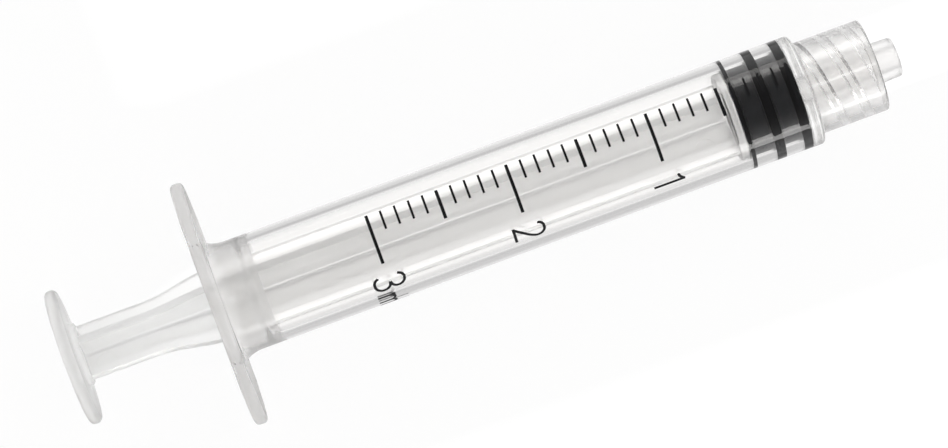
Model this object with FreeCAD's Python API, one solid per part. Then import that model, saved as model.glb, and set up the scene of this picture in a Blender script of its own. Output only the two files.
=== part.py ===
import FreeCAD
import Part
import math
import os
from FreeCAD import Vector

# A 3 ml luer lock syringe: a clear barrel, a black rubber stopper and a ribbed plunger rod.
# Millimetres. X runs along the barrel towards the tip, with x = 0 at the barrel's front face,
# where the luer tip grows out of it. Y runs along the finger flange, and Z is up.

# Barrel tube
BORE_R = 4.7
BARREL_WALL = 0.9
BARREL_LENGTH = 62.0
END_WALL = 1.05
FLOOR_CONE = 0.3
SHOULDER_ROUND = 0.45

# Finger flange at the open end, and the flare that carries it
FLANGE_SPAN = 25.0
FLANGE_WIDTH = 13.5
FLANGE_THICK = 1.3
FLANGE_ROUND = 0.45
FLARE_RISE = 0.58
FLARE_LENGTH = 1.9

# Open mouth: a wide lead-in, then a bead that keeps the stopper in
MOUTH_R = 5.2
MOUTH_TAPER = 0.2
MOUTH_DEPTH = 4.0
MOUTH_ROUND = 0.3
BEAD_HEIGHT = 0.15
BEAD_BACK = 0.7
BEAD_FRONT = 0.8

# Lock collar with its two-start internal thread, which ends at a wider lead-in
COLLAR_LENGTH = 7.0
COLLAR_WALL = 0.7
COLLAR_ROUND = 0.3
COLLAR_FOOT_ROUND = 0.2
THREAD_STARTS = 2
THREAD_LEAD = 5.0
THREAD_ROOT_R = 4.0
THREAD_DEPTH = 0.5
THREAD_ROOT_WIDTH = 1.1
THREAD_CREST_WIDTH = 0.5
THREAD_TURN = -7.0
LEAD_IN_DEPTH = 0.6
LEAD_IN_STEP = 0.08
LEAD_IN_TAPER = 0.22

# Luer tip: a six per cent taper on the diameter
TIP_LENGTH = 9.45
TIP_END_R = 1.985
TIP_TAPER = 0.06
TIP_BORE_R = 0.95
TIP_END_ROUND = 0.35
TIP_FOOT_ROUND = 0.2

# Stopper: three sealing ribs with grooves between them
STOPPER_LENGTH = 6.35
STOPPER_CLEARANCE = 0.02
GROOVE_DEPTH = 0.26
FRONT_RIB = 1.0
MIDDLE_RIB = 0.95
BACK_RIB = 0.4
FRONT_GROOVE = 1.9
RIB_SLOPE = 0.16
RIM_CHAMFER = 0.12
NOSE_FLAT_R = 1.1
REST_GAP = 0.1

# Plunger rod: the head that the stopper is pushed over
HEAD_CLEARANCE = 0.05
HEAD_R = 3.0
HEAD_LENGTH = 1.3
HEAD_NOSE_R = 1.4
HEAD_NOSE_LENGTH = 1.0
HEAD_NECK_R = 2.2
HEAD_NECK_LENGTH = 1.5
SUPPORT_R = 4.45
SUPPORT_THICK = 0.9
SUPPORT_ROUND = 0.2

# Plunger rod: the cross-shaped shaft
ROD_LENGTH = 69.55
ROD_TURN = 28.0
RIB_R = 4.0
RIB_ROOT_THICK = 1.1
RIB_TIP_THICK = 0.75
RIB_ROOT_ROUND = 0.4
GRIP_RIB_R = 2.92
GRIP_LENGTH = 8.0
RIB_FLARE_LENGTH = 4.8
RIB_FLARE_ROUND = 12.0

# Plunger rod: the thumb disc
THUMB_R = 6.9
THUMB_THICK = 1.2
THUMB_ROUND = 0.5
BOSS_R = 3.2
BOSS_THICK = 0.6
BOSS_ROUND = 0.3
GRIP_RING_RADII = (2.1, 3.6, 5.1)
GRIP_RING_DEPTH = 0.22

# Round witness marks that the mould's ejector pins leave on one rib
PIN_MARK_R = 1.0
PIN_MARK_DEPTH = 0.06
PIN_MARK_FROM_SUPPORT = 3.0
PIN_MARK_FROM_BOSS = 1.8

# Worked out from the sizes above
BARREL_R = BORE_R + BARREL_WALL
BARREL_BACK = -BARREL_LENGTH
FLANGE_FRONT = BARREL_BACK + FLANGE_THICK
FLARE_R = BARREL_R + FLARE_RISE
FLARE_FRONT = FLANGE_FRONT + FLARE_LENGTH
MOUTH_FLOOR = BARREL_BACK + MOUTH_DEPTH
BEAD_X = MOUTH_FLOOR + BEAD_BACK
COLLAR_R = THREAD_ROOT_R + COLLAR_WALL
THREAD_CREST_R = THREAD_ROOT_R - THREAD_DEPTH
THREAD_END = COLLAR_LENGTH - LEAD_IN_DEPTH
LEAD_IN_R = THREAD_ROOT_R + LEAD_IN_STEP
FLOOR_CENTRE = -END_WALL + FLOOR_CONE
TIP_ROOT_R = TIP_END_R + TIP_TAPER / 2 * TIP_LENGTH

STOPPER_R = BORE_R - STOPPER_CLEARANCE
STOPPER_RIM = -END_WALL - REST_GAP
STOPPER_BACK = STOPPER_RIM - STOPPER_LENGTH
GROOVE_R = STOPPER_R - GROOVE_DEPTH

SUPPORT_FRONT = STOPPER_BACK - HEAD_CLEARANCE
SUPPORT_BACK = SUPPORT_FRONT - SUPPORT_THICK
THUMB_BACK = SUPPORT_FRONT - ROD_LENGTH
THUMB_FRONT = THUMB_BACK + THUMB_THICK
BOSS_FRONT = THUMB_FRONT + BOSS_THICK

AXIS_POINT = Vector(0, 0, 0)
AXIS = Vector(1, 0, 0)
OVERRUN = 1.0


def point(x, r):
    return Vector(x, r, 0)


def turned(path):
    """Turn a closed path of (x, r) corners about the axis. A step of two corners is an arc: through, to."""
    edges = []
    here = path[0]
    for step in path[1:] + path[:1]:
        if isinstance(step[0], tuple):
            through, there = step
            edges.append(Part.Arc(point(*here), point(*through), point(*there)).toShape())
        else:
            there = step
            edges.append(Part.LineSegment(point(*here), point(*there)).toShape())
        here = there
    return Part.Face(Part.Wire(edges)).revolve(AXIS_POINT, AXIS, 360)


def disc(back, thick, r):
    return Part.makeCylinder(r, thick, Vector(back, 0, 0), AXIS)


def round_rings(shape, radius, *rings):
    """Fillet the circular edges that are centred on the axis at each given (x, r)."""
    found = []
    for edge in shape.Edges:
        curve = edge.Curve
        if not isinstance(curve, Part.Circle):
            continue
        if any(math.hypot(curve.Center.x - x, curve.Radius - r) < 1e-4 for x, r in rings):
            found.append(edge)
    return shape.makeFillet(radius, found)


# Barrel

def flare_step():
    """The hollow curve from the tube out to the flange's front, tangent to the tube."""
    radius = (FLARE_LENGTH ** 2 + FLARE_RISE ** 2) / (2 * FLARE_RISE)
    half_turn = math.asin(FLARE_LENGTH / radius) / 2
    through = (FLARE_FRONT - radius * math.sin(half_turn),
               BARREL_R + radius * (1 - math.cos(half_turn)))
    return (through, (FLARE_FRONT, BARREL_R))


def barrel_body():
    """Tube, end wall and collar, turned about the axis, with the collar still filled up to its lead-in."""
    body = turned([
        (BARREL_BACK, MOUTH_R),
        (BARREL_BACK, FLARE_R),
        (FLANGE_FRONT, FLARE_R),
        flare_step(),
        (0, BARREL_R),
        (0, COLLAR_R),
        (COLLAR_LENGTH, COLLAR_R),
        (COLLAR_LENGTH, LEAD_IN_R + LEAD_IN_TAPER),
        (THREAD_END, LEAD_IN_R),
        (THREAD_END, 0),
        (FLOOR_CENTRE, 0),
        (FLOOR_CENTRE, TIP_BORE_R),
        (-END_WALL, BORE_R),
        (BEAD_X + BEAD_FRONT, BORE_R),
        (BEAD_X, BORE_R - BEAD_HEIGHT),
        (MOUTH_FLOOR, MOUTH_R - MOUTH_TAPER),
    ])
    body = round_rings(body, SHOULDER_ROUND, (0, BARREL_R))
    body = round_rings(body, COLLAR_FOOT_ROUND, (0, COLLAR_R))
    return round_rings(body, COLLAR_ROUND, (COLLAR_LENGTH, COLLAR_R))


def luer_tip():
    """The tapered tip, rooted in the end wall."""
    root = FLOOR_CENTRE / 2
    tip = turned([
        (root, 0),
        (root, TIP_ROOT_R),
        (0, TIP_ROOT_R),
        (TIP_LENGTH, TIP_END_R),
        (TIP_LENGTH, 0),
    ])
    return round_rings(tip, TIP_END_ROUND, (TIP_LENGTH, TIP_END_R))


def flange():
    """A flat oval plate with straight long sides and half-round ends."""
    end_r = FLANGE_WIDTH / 2
    straight = FLANGE_SPAN / 2 - end_r
    low_left = Vector(BARREL_BACK, -straight, -end_r)
    low_right = Vector(BARREL_BACK, straight, -end_r)
    top_right = Vector(BARREL_BACK, straight, end_r)
    top_left = Vector(BARREL_BACK, -straight, end_r)
    right_end = Vector(BARREL_BACK, FLANGE_SPAN / 2, 0)
    left_end = Vector(BARREL_BACK, -FLANGE_SPAN / 2, 0)
    outline = Part.Wire([
        Part.LineSegment(low_left, low_right).toShape(),
        Part.Arc(low_right, right_end, top_right).toShape(),
        Part.LineSegment(top_right, top_left).toShape(),
        Part.Arc(top_left, left_end, low_left).toShape(),
    ])
    plate = Part.Face(outline).extrude(Vector(FLANGE_THICK, 0, 0))
    rim = []
    for edge in plate.Edges:
        box = edge.BoundBox
        if box.XLength < 1e-6:
            rim.append(edge)
    plate = plate.makeFillet(FLANGE_ROUND, rim)
    hole_r = (MOUTH_R + FLARE_R) / 2
    return plate.cut(disc(BARREL_BACK - OVERRUN, FLANGE_THICK + 2 * OVERRUN, hole_r))


def around(r, degrees):
    """A point in the plane of the barrel's front face, turned from +Y towards +Z."""
    angle = math.radians(degrees)
    return Vector(0, r * math.cos(angle), r * math.sin(angle))


def thread_hollow():
    """What the two-start thread leaves open: the collar's hollow section, twisted along a right-hand helix."""
    between = 360 / THREAD_STARTS
    half_root = 180 * THREAD_ROOT_WIDTH / THREAD_LEAD
    half_crest = 180 * THREAD_CREST_WIDTH / THREAD_LEAD
    edges = []
    for start in range(THREAD_STARTS):
        ridge = THREAD_TURN + between * start
        foot = around(THREAD_ROOT_R, ridge - half_root)
        crest = around(THREAD_CREST_R, ridge - half_crest)
        crest_end = around(THREAD_CREST_R, ridge + half_crest)
        foot_end = around(THREAD_ROOT_R, ridge + half_root)
        next_foot = around(THREAD_ROOT_R, ridge + between - half_root)
        edges.append(Part.LineSegment(foot, crest).toShape())
        edges.append(Part.Arc(crest, around(THREAD_CREST_R, ridge), crest_end).toShape())
        edges.append(Part.LineSegment(crest_end, foot_end).toShape())
        edges.append(Part.Arc(foot_end, around(THREAD_ROOT_R, ridge + between / 2), next_foot).toShape())
    length = THREAD_END + LEAD_IN_DEPTH / 2
    helix = Part.makeHelix(THREAD_LEAD, length, THREAD_ROOT_R)
    helix.rotate(AXIS_POINT, Vector(0, 1, 0), 90)
    spine = Part.LineSegment(AXIS_POINT, AXIS * length).toShape()
    sweep = Part.BRepOffsetAPI.MakePipeShell(Part.Wire(spine))
    sweep.setAuxiliarySpine(Part.Wire(helix.Edges), True, 0)
    sweep.add(Part.Wire(edges))
    sweep.build()
    sweep.makeSolid()
    return sweep.shape()


def barrel():
    body = barrel_body().cut(thread_hollow()).fuse([luer_tip(), flange()])
    body = body.cut(disc(FLOOR_CENTRE - OVERRUN, TIP_LENGTH - FLOOR_CENTRE + 2 * OVERRUN, TIP_BORE_R))
    body = body.removeSplitter()
    body = round_rings(body, TIP_FOOT_ROUND, (0, TIP_ROOT_R))
    return round_rings(body, MOUTH_ROUND, (BARREL_BACK, MOUTH_R))


# Plunger rod

def head(grow):
    """The barbed head and its neck, grown by a clearance for the stopper's cavity."""
    head_back = SUPPORT_FRONT + HEAD_NECK_LENGTH
    head_front = head_back + HEAD_LENGTH
    nose = head_front + HEAD_NOSE_LENGTH
    neck_back = SUPPORT_FRONT - SUPPORT_THICK / 2
    return turned([
        (neck_back, 0),
        (neck_back, HEAD_NECK_R + grow),
        (head_back - grow, HEAD_NECK_R + grow),
        (head_back - grow, HEAD_R + grow),
        (head_front, HEAD_R + grow),
        (nose + grow, HEAD_NOSE_R + grow),
        (nose + grow, 0),
    ])


def cross_section():
    """The rod's section: four ribs that thin towards their tips, with rounded roots."""
    slope = (RIB_ROOT_THICK - RIB_TIP_THICK) / 2 / RIB_R
    far = RIB_R + OVERRUN
    half_tip = RIB_ROOT_THICK / 2 - slope * far
    inner = RIB_ROOT_THICK / 2 / (1 + slope)
    corners = []
    for quarter in range(4):
        angle = math.radians(90 * quarter)
        for along, across in ((far, -half_tip), (far, half_tip), (inner, inner)):
            corners.append(Vector(
                THUMB_FRONT,
                along * math.sin(angle) + across * math.cos(angle),
                along * math.cos(angle) - across * math.sin(angle),
            ))
    return Part.Face(Part.makePolygon(corners + corners[:1]))


def shaft():
    """Four ribs, cut to a low grip behind the flange and a taller guide inside the barrel."""
    length = SUPPORT_BACK - THUMB_FRONT
    ribs = cross_section().extrude(Vector(length, 0, 0))
    roots = []
    for edge in ribs.Edges:
        box = edge.BoundBox
        from_axis = math.hypot(box.Center.y, box.Center.z)
        if box.XLength > length / 2 and from_axis < RIB_ROOT_THICK:
            roots.append(edge)
    ribs = ribs.makeFillet(RIB_ROOT_ROUND, roots)
    grip_front = BOSS_FRONT + GRIP_LENGTH
    guide_back = grip_front + RIB_FLARE_LENGTH
    envelope = turned([
        (THUMB_FRONT, 0),
        (THUMB_FRONT, GRIP_RIB_R),
        (grip_front, GRIP_RIB_R),
        (guide_back, RIB_R),
        (SUPPORT_BACK, RIB_R),
        (SUPPORT_BACK, 0),
    ])
    envelope = round_rings(envelope, RIB_FLARE_ROUND, (grip_front, GRIP_RIB_R), (guide_back, RIB_R))
    return ribs.common(envelope)


def thumb_disc():
    """The round thumb rest, with its boss inside and three shallow grip rings outside."""
    plate = round_rings(disc(THUMB_BACK, THUMB_THICK, THUMB_R), THUMB_ROUND,
                        (THUMB_BACK, THUMB_R), (THUMB_FRONT, THUMB_R))
    for ring_r in GRIP_RING_RADII:
        plate = plate.cut(Part.makeTorus(ring_r, GRIP_RING_DEPTH, Vector(THUMB_BACK, 0, 0), AXIS))
    boss = disc(THUMB_FRONT - THUMB_THICK / 2, THUMB_THICK / 2 + BOSS_THICK, BOSS_R)
    return plate.fuse(round_rings(boss, BOSS_ROUND, (BOSS_FRONT, BOSS_R)))


def pin_mark(x, height):
    """A shallow round dent in the face of the rib that points along -Y before the rod is turned."""
    slope = (RIB_ROOT_THICK - RIB_TIP_THICK) / 2 / RIB_R
    face_z = RIB_ROOT_THICK / 2 - slope * height
    lean = math.atan(slope)
    out = Vector(0, -math.sin(lean), math.cos(lean))
    foot = Vector(x, -height, face_z) - out * PIN_MARK_DEPTH
    return Part.makeCylinder(PIN_MARK_R, OVERRUN, foot, out)


def plunger_rod():
    support = round_rings(disc(SUPPORT_BACK, SUPPORT_THICK, SUPPORT_R), SUPPORT_ROUND,
                          (SUPPORT_BACK, SUPPORT_R), (SUPPORT_FRONT, SUPPORT_R))
    rod = shaft()
    rod = rod.cut(pin_mark(SUPPORT_BACK - PIN_MARK_FROM_SUPPORT, (RIB_R + RIB_ROOT_THICK) / 2))
    rod = rod.cut(pin_mark(BOSS_FRONT + PIN_MARK_FROM_BOSS, (GRIP_RIB_R + RIB_ROOT_THICK) / 2))
    rod = rod.fuse([thumb_disc(), support, head(0)]).removeSplitter()
    rod.rotate(AXIS_POINT, AXIS, -ROD_TURN)
    return rod


# Stopper

def stopper():
    """The turned rubber body: a wide front rib, a middle rib and a thin one at the back."""
    front_rib_back = STOPPER_RIM - FRONT_RIB
    middle_rib_front = front_rib_back - FRONT_GROOVE
    middle_rib_back = middle_rib_front - MIDDLE_RIB
    back_rib_front = STOPPER_BACK + BACK_RIB
    body = turned([
        (STOPPER_BACK, 0),
        (STOPPER_BACK, STOPPER_R),
        (back_rib_front, STOPPER_R),
        (back_rib_front + RIB_SLOPE, GROOVE_R),
        (middle_rib_back - RIB_SLOPE, GROOVE_R),
        (middle_rib_back, STOPPER_R),
        (middle_rib_front, STOPPER_R),
        (middle_rib_front + RIB_SLOPE, GROOVE_R),
        (front_rib_back - 2 * RIB_SLOPE, GROOVE_R),
        (front_rib_back, STOPPER_R),
        (STOPPER_RIM - RIM_CHAMFER, STOPPER_R),
        (STOPPER_RIM, STOPPER_R - RIM_CHAMFER),
        (STOPPER_RIM + FLOOR_CONE, NOSE_FLAT_R),
        (STOPPER_RIM + FLOOR_CONE, 0),
    ])
    return body.cut(head(HEAD_CLEARANCE))


NODES = {
    "barrel": barrel,
    "plunger_rod": plunger_rod,
    "stopper": stopper,
}


def main():
    os.makedirs("parts", exist_ok=True)
    for name, build in NODES.items():
        shape = build()
        solids = shape.Solids
        print(name, "solids", len(solids), "valid", shape.isValid(), "volume", round(shape.Volume, 2))
        piece = solids[0] if len(solids) == 1 else Part.makeCompound(solids)
        piece.exportStep(f"parts/{name}.step")


main()
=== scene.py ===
# %% [markdown]
# A luer lock syringe, as it lies on a pale table.
#
# The real one holds three millilitres and is made of three mouldings. The clear barrel carries a printed
# scale, a finger flange, and a threaded collar round its tip. A black rubber stopper with three sealing
# ribs slides in it, pushed over the end of a ribbed rod of natural, slightly milky plastic.
#
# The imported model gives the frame: where each body is, and how it moves. Each of the three mouldings is
# modelled again here with finer rounds and an even mesh, because light passes through two of them, and
# every facet would show in the refraction.

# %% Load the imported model
import math

import bmesh
import bpy
from mathutils import Matrix, Vector


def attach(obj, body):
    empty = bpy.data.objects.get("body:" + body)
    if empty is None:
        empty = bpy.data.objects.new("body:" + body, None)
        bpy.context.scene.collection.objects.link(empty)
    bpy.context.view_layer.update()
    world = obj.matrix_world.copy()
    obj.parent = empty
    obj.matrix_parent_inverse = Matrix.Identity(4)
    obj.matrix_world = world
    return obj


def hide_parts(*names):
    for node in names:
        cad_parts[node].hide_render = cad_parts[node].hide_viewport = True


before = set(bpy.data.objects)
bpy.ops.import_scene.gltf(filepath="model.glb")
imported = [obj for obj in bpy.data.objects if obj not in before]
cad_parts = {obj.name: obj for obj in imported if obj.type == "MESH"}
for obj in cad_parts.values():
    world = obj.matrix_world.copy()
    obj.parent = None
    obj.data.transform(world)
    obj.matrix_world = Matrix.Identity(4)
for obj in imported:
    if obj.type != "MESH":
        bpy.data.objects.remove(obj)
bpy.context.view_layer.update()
print("nodes:", sorted(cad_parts))

# %% [markdown]
# Blender works in metres, and a syringe is drawn in millimetres, so one small helper turns the one into
# the other. The other helpers do what a hand does with the mouse: pick one piece, and pick the parts of
# its mesh that the next operator works on. In a script the picking is done by place, and everything else
# is deselected first, because an operator acts on all that is selected.

# %% Millimetres and picking
def mm(size):
    """A size in millimetres, in Blender's metres."""
    return size * 0.001


def only(piece):
    """Select this piece and nothing else."""
    bpy.ops.object.select_all(action="DESELECT")
    piece.select_set(True)
    bpy.context.view_layer.objects.active = piece


def choose(kind, test):
    """In edit mode, select the vertices, edges or faces that pass the test, and say how many did."""
    bpy.ops.mesh.select_mode(type=kind)
    bpy.ops.mesh.select_all(action="DESELECT")
    mesh = bpy.context.object.data
    shape = bmesh.from_edit_mesh(mesh)
    parts = {"VERT": shape.verts, "EDGE": shape.edges, "FACE": shape.faces}[kind]
    chosen = [part for part in parts if test(part)]
    for part in chosen:
        part.select_set(True)
    shape.select_flush_mode()
    bmesh.update_edit_mesh(mesh)
    return len(chosen)


def middle(edge):
    """The middle of an edge."""
    return (edge.verts[0].co + edge.verts[1].co) / 2


def off_axis(place):
    """How far a place lies from the syringe's axis, in millimetres."""
    return math.hypot(place.y, place.z) * 1000


def along(place):
    """How far along the syringe a place is, in millimetres."""
    return place.x * 1000


print("one millimetre is", mm(1), "metres")

# %% [markdown]
# The camera looks straight down on the syringe, rolled so that the syringe rises by 20 degrees to the
# right, with a long lens. Most of it is seen square on. The camera stands nearer the flange than the tip,
# so it sees the stopper's ribs a little from behind, as gentle arcs.

# %% Camera
ROLL = math.radians(20.1)
CAMERA_PLACE = Vector((mm(-44.0), mm(-1.24), mm(436.6)))
CAMERA_TARGET = Vector((mm(-35.2), mm(-1.24), 0))
SEEN_WIDTH = math.radians(12.15)

backwards = (CAMERA_PLACE - CAMERA_TARGET).normalized()
across = Vector((math.cos(ROLL), -math.sin(ROLL), 0))
upwards = backwards.cross(across).normalized()
across = upwards.cross(backwards)
bpy.ops.object.camera_add(location=CAMERA_PLACE)
camera = bpy.context.object
camera.name = "camera"
camera.rotation_euler = Matrix((across, upwards, backwards)).transposed().to_euler()
camera.data.sensor_fit = "HORIZONTAL"
camera.data.sensor_width = 36
camera.data.lens = 18 / math.tan(SEEN_WIDTH / 2)
camera.data.clip_start = 0.01
bpy.context.scene.camera = camera
print("lens:", round(camera.data.lens, 1), "mm")

# %% [markdown]
# The syringe rests on the edge of its flange and on the front edge of its barrel, so the table is
# tilted by one degree to touch both.

# %% Table
FLANGE_TOUCH = Vector((mm(-61.15), 0, mm(-6.75)))
BARREL_TOUCH = Vector((mm(-0.45), 0, mm(-5.6)))

slope = BARREL_TOUCH - FLANGE_TOUCH
tilt = -math.atan2(slope.z, slope.x)
bpy.ops.mesh.primitive_grid_add(x_subdivisions=8, y_subdivisions=8, size=3)
table = bpy.context.object
table.name = "table"
only(table)
table.rotation_euler = (0, tilt, 0)
table.location = FLANGE_TOUCH
bpy.ops.object.transform_apply(location=True, rotation=True, scale=True)
print("table tilted by", round(math.degrees(tilt), 2), "degrees")

# %% [markdown]
# Clear plastic shows the table white, but only close to the syringe. Further off, the table is painted grey
# for the rays that come through the plastic: painted shade, standing in for the dark studio round a white
# card of limited size. The rays that the tube's edge bends furthest sideways then see this painted grey,
# and that draws the dark line along the edge, without which clear plastic on white can't be seen. A colour
# ramp across the table holds these painted greys, from the front edge of the view to the back. They were
# found by trial.
# Along the table a painted pool of light falls off a little from the barrel to the thumb disc.

# %% Table finish, the painted greys
RAMP_REACH = 80.0
# Painted shade: the table's glow across it, for rays through the plastic, white near the syringe and grey
# off to the sides.
PAINTED_GREYS = [(-80, 0.95), (-22, 0.92), (-15, 0.78), (-12.8, 0.46), (-9, 0.48), (-6.9, 0.57), (-5.4, 0.90),
         (-4.3, 0.84), (-3.3, 0.86), (-2.4, 1.0), (3, 1.0), (5.3, 0.86), (7, 0.75), (9, 0.60), (11.2, 0.40),
         (12.8, 0.40), (15, 0.78), (22, 0.92), (80, 0.95)]
# Painted pool of light: along the table the glow rises from 0.90 behind the thumb disc to 1.13 under the
# barrel.
PAINTED_LIGHT_POOL = {"from_x": (-76, -60), "level": (0.90, 1.13)}


def node_in(tree, kind, **settings):
    """A new node in a node tree, with its settings."""
    made = tree.nodes.new(kind)
    for name, value in settings.items():
        setattr(made, name, value)
    return made


# The table's finish: plain white for the camera, with painted greys and a painted pool of light for rays
# through the plastic.
paper = bpy.data.materials.new("table_with_painted_greys")
paper.use_nodes = True
tree = paper.node_tree
tree.nodes.clear()
on_table = node_in(tree, "ShaderNodeTexCoord")
split = node_in(tree, "ShaderNodeSeparateXYZ")
tree.links.new(on_table.outputs["Object"], split.inputs[0])
across_table = node_in(tree, "ShaderNodeMapRange")
across_table.inputs["From Min"].default_value = mm(-RAMP_REACH)
across_table.inputs["From Max"].default_value = mm(RAMP_REACH)
tree.links.new(split.outputs["Y"], across_table.inputs["Value"])
# This ramp paints the shade: the grey of the table's glow at each place across it.
painted_shade_ramp = node_in(tree, "ShaderNodeValToRGB")
stops = painted_shade_ramp.color_ramp.elements
while len(stops) < len(PAINTED_GREYS):
    stops.new(0.5)
for stop, (y, grey) in zip(stops, PAINTED_GREYS):
    stop.position = (y + RAMP_REACH) / (2 * RAMP_REACH)
    stop.color = (grey, grey, grey, 1)
tree.links.new(across_table.outputs["Result"], painted_shade_ramp.inputs["Fac"])
painted_light_pool = node_in(tree, "ShaderNodeMapRange", interpolation_type="SMOOTHSTEP")
painted_light_pool.inputs["From Min"].default_value = mm(PAINTED_LIGHT_POOL["from_x"][0])
painted_light_pool.inputs["From Max"].default_value = mm(PAINTED_LIGHT_POOL["from_x"][1])
painted_light_pool.inputs["To Min"].default_value = PAINTED_LIGHT_POOL["level"][0]
painted_light_pool.inputs["To Max"].default_value = PAINTED_LIGHT_POOL["level"][1]
tree.links.new(split.outputs["X"], painted_light_pool.inputs["Value"])
# The painted greys times the painted pool of light give the glow that rays through the plastic see.
painted_level = node_in(tree, "ShaderNodeMath", operation="MULTIPLY")
tree.links.new(painted_shade_ramp.outputs["Color"], painted_level.inputs[0])
tree.links.new(painted_light_pool.outputs["Result"], painted_level.inputs[1])
print("greys across the table:", len(stops))

# %% [markdown]
# Not every ray may see these painted greys and the painted pool of light. The Light Path node tells the
# rays apart. The camera's own rays see plain white, and rays that have passed through or bounced off the
# plastic see the painted greys. All other rays see a matt white table. A small share of it is mixed in for
# the first two as well, and that share is what keeps the syringe's shadow on the table.

# %% Table finish, what each ray sees
MATT_WHITE = 0.94
GLOW_SHARE = 0.93

matt = node_in(tree, "ShaderNodeBsdfDiffuse")
matt.inputs["Color"].default_value = (MATT_WHITE, MATT_WHITE, MATT_WHITE, 1)
ray = node_in(tree, "ShaderNodeLightPath")
white = node_in(tree, "ShaderNodeMath", operation="MAXIMUM")
tree.links.new(painted_level.outputs[0], white.inputs[0])
tree.links.new(ray.outputs["Is Camera Ray"], white.inputs[1])
# The glow is plain white for camera rays, and the painted shade and painted light level for the others.
glow = node_in(tree, "ShaderNodeEmission")
tree.links.new(white.outputs[0], glow.inputs["Strength"])
in_plastic = node_in(tree, "ShaderNodeMath", operation="MAXIMUM")
tree.links.new(ray.outputs["Is Transmission Ray"], in_plastic.inputs[0])
tree.links.new(ray.outputs["Is Glossy Ray"], in_plastic.inputs[1])
seen = node_in(tree, "ShaderNodeMath", operation="MAXIMUM")
tree.links.new(in_plastic.outputs[0], seen.inputs[0])
tree.links.new(ray.outputs["Is Camera Ray"], seen.inputs[1])
share = node_in(tree, "ShaderNodeMath", operation="MULTIPLY")
share.inputs[1].default_value = GLOW_SHARE
tree.links.new(seen.outputs[0], share.inputs[0])
mixed = node_in(tree, "ShaderNodeMixShader")
tree.links.new(share.outputs[0], mixed.inputs[0])
tree.links.new(matt.outputs[0], mixed.inputs[1])
tree.links.new(glow.outputs[0], mixed.inputs[2])
surface = node_in(tree, "ShaderNodeOutputMaterial")
tree.links.new(mixed.outputs[0], surface.inputs["Surface"])
paper.cycles.emission_sampling = "NONE"
table.data.materials.append(paper)
print("table finish has", len(tree.nodes), "nodes")

# %% [markdown]
# The light is a small studio tent. A large softbox stands behind the syringe and a lower, narrower one
# in front, and each draws a long soft band along the barrel. A thin strip hangs beside the camera, past
# the tip and in line with the barrel. It gives the fine bright line along the collar and the tip.

# %% Lamps
def softbox(name, place, target, width, height, brightness, colour):
    """An area lamp that faces its target. Brightness 1 is the white of paper."""
    bpy.ops.object.light_add(type="AREA", location=place)
    lamp = bpy.context.object
    lamp.name = name
    lamp.rotation_euler = (Vector(target) - Vector(place)).to_track_quat("-Z", "Y").to_euler()
    lamp.data.shape = "RECTANGLE"
    lamp.data.size = width
    lamp.data.size_y = height
    lamp.data.energy = brightness * math.pi * width * height
    lamp.data.color = colour
    lamp.visible_camera = False
    return lamp


BARREL_MIDDLE = (mm(-30), 0, 0)
softbox("back_softbox", (-0.03, 0.567, 0.206), BARREL_MIDDLE, 1.1, 0.20, 1.9, (1.0, 0.985, 0.96))
softbox("front_softbox", (-0.03, -0.58, 0.135), BARREL_MIDDLE, 1.1, 0.125, 4.8, (1.0, 0.99, 0.975))
softbox("camera_strip", (0.345, 0, 0.44), (0.345, 0, 0), 0.60, 0.045, 5.0, (1, 1, 1))

# %% [markdown]
# The walls of a round barrel mirror only the strip of the room that crosses it, so the room is dark there,
# straight up by the camera, and the rubber behind the wall stays black. Towards the barrel's two ends the
# room is bright, which lights the milky rod without showing in the barrel's walls. The world's Generated
# coordinates are a direction from -1 to 1 on each axis, so Z is how high a ray looks and X how far along
# the barrel. The camera itself sees a white room.

# %% Room
LEVEL_AT_THE_SIDES = 0.95
LEVEL_OVERHEAD = 0.2
ENDS_FADE_IN = (0.15, 0.5)

room = bpy.data.worlds.new("room")
room.use_nodes = True
bpy.context.scene.world = room
walls = room.node_tree
walls.nodes.clear()
wall = node_in(walls, "ShaderNodeBackground")
wall.inputs["Color"].default_value = (1.0, 0.985, 0.975, 1)
direction = node_in(walls, "ShaderNodeTexCoord")
height = node_in(walls, "ShaderNodeSeparateXYZ")
walls.links.new(direction.outputs["Generated"], height.inputs[0])
wall_level = node_in(walls, "ShaderNodeMapRange", interpolation_type="SMOOTHSTEP")
wall_level.inputs["To Min"].default_value = LEVEL_AT_THE_SIDES
wall_level.inputs["To Max"].default_value = LEVEL_OVERHEAD
walls.links.new(height.outputs["Z"], wall_level.inputs["Value"])
to_an_end = node_in(walls, "ShaderNodeMath", operation="ABSOLUTE")
walls.links.new(height.outputs["X"], to_an_end.inputs[0])
end_level = node_in(walls, "ShaderNodeMapRange", interpolation_type="SMOOTHSTEP")
end_level.inputs["From Min"].default_value = ENDS_FADE_IN[0]
end_level.inputs["From Max"].default_value = ENDS_FADE_IN[1]
walls.links.new(to_an_end.outputs[0], end_level.inputs["Value"])
brighter = node_in(walls, "ShaderNodeMath", operation="MAXIMUM")
walls.links.new(wall_level.outputs["Result"], brighter.inputs[0])
walls.links.new(end_level.outputs["Result"], brighter.inputs[1])
wall_ray = node_in(walls, "ShaderNodeLightPath")
wall_white = node_in(walls, "ShaderNodeMath", operation="MAXIMUM")
walls.links.new(brighter.outputs[0], wall_white.inputs[0])
walls.links.new(wall_ray.outputs["Is Camera Ray"], wall_white.inputs[1])
walls.links.new(wall_white.outputs[0], wall.inputs["Strength"])
wall_out = node_in(walls, "ShaderNodeOutputWorld")
walls.links.new(wall.outputs[0], wall_out.inputs["Surface"])
print("room has", len(walls.nodes), "nodes")

# %% [markdown]
# Some settings belong to the picture and not to the syringe. The Standard view shows each colour about as
# it is written. The bounce limits let light get through many walls of plastic, one behind the other. They
# are generous: when they were raised this far, the dark places in the plastic stayed as they were.

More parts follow.
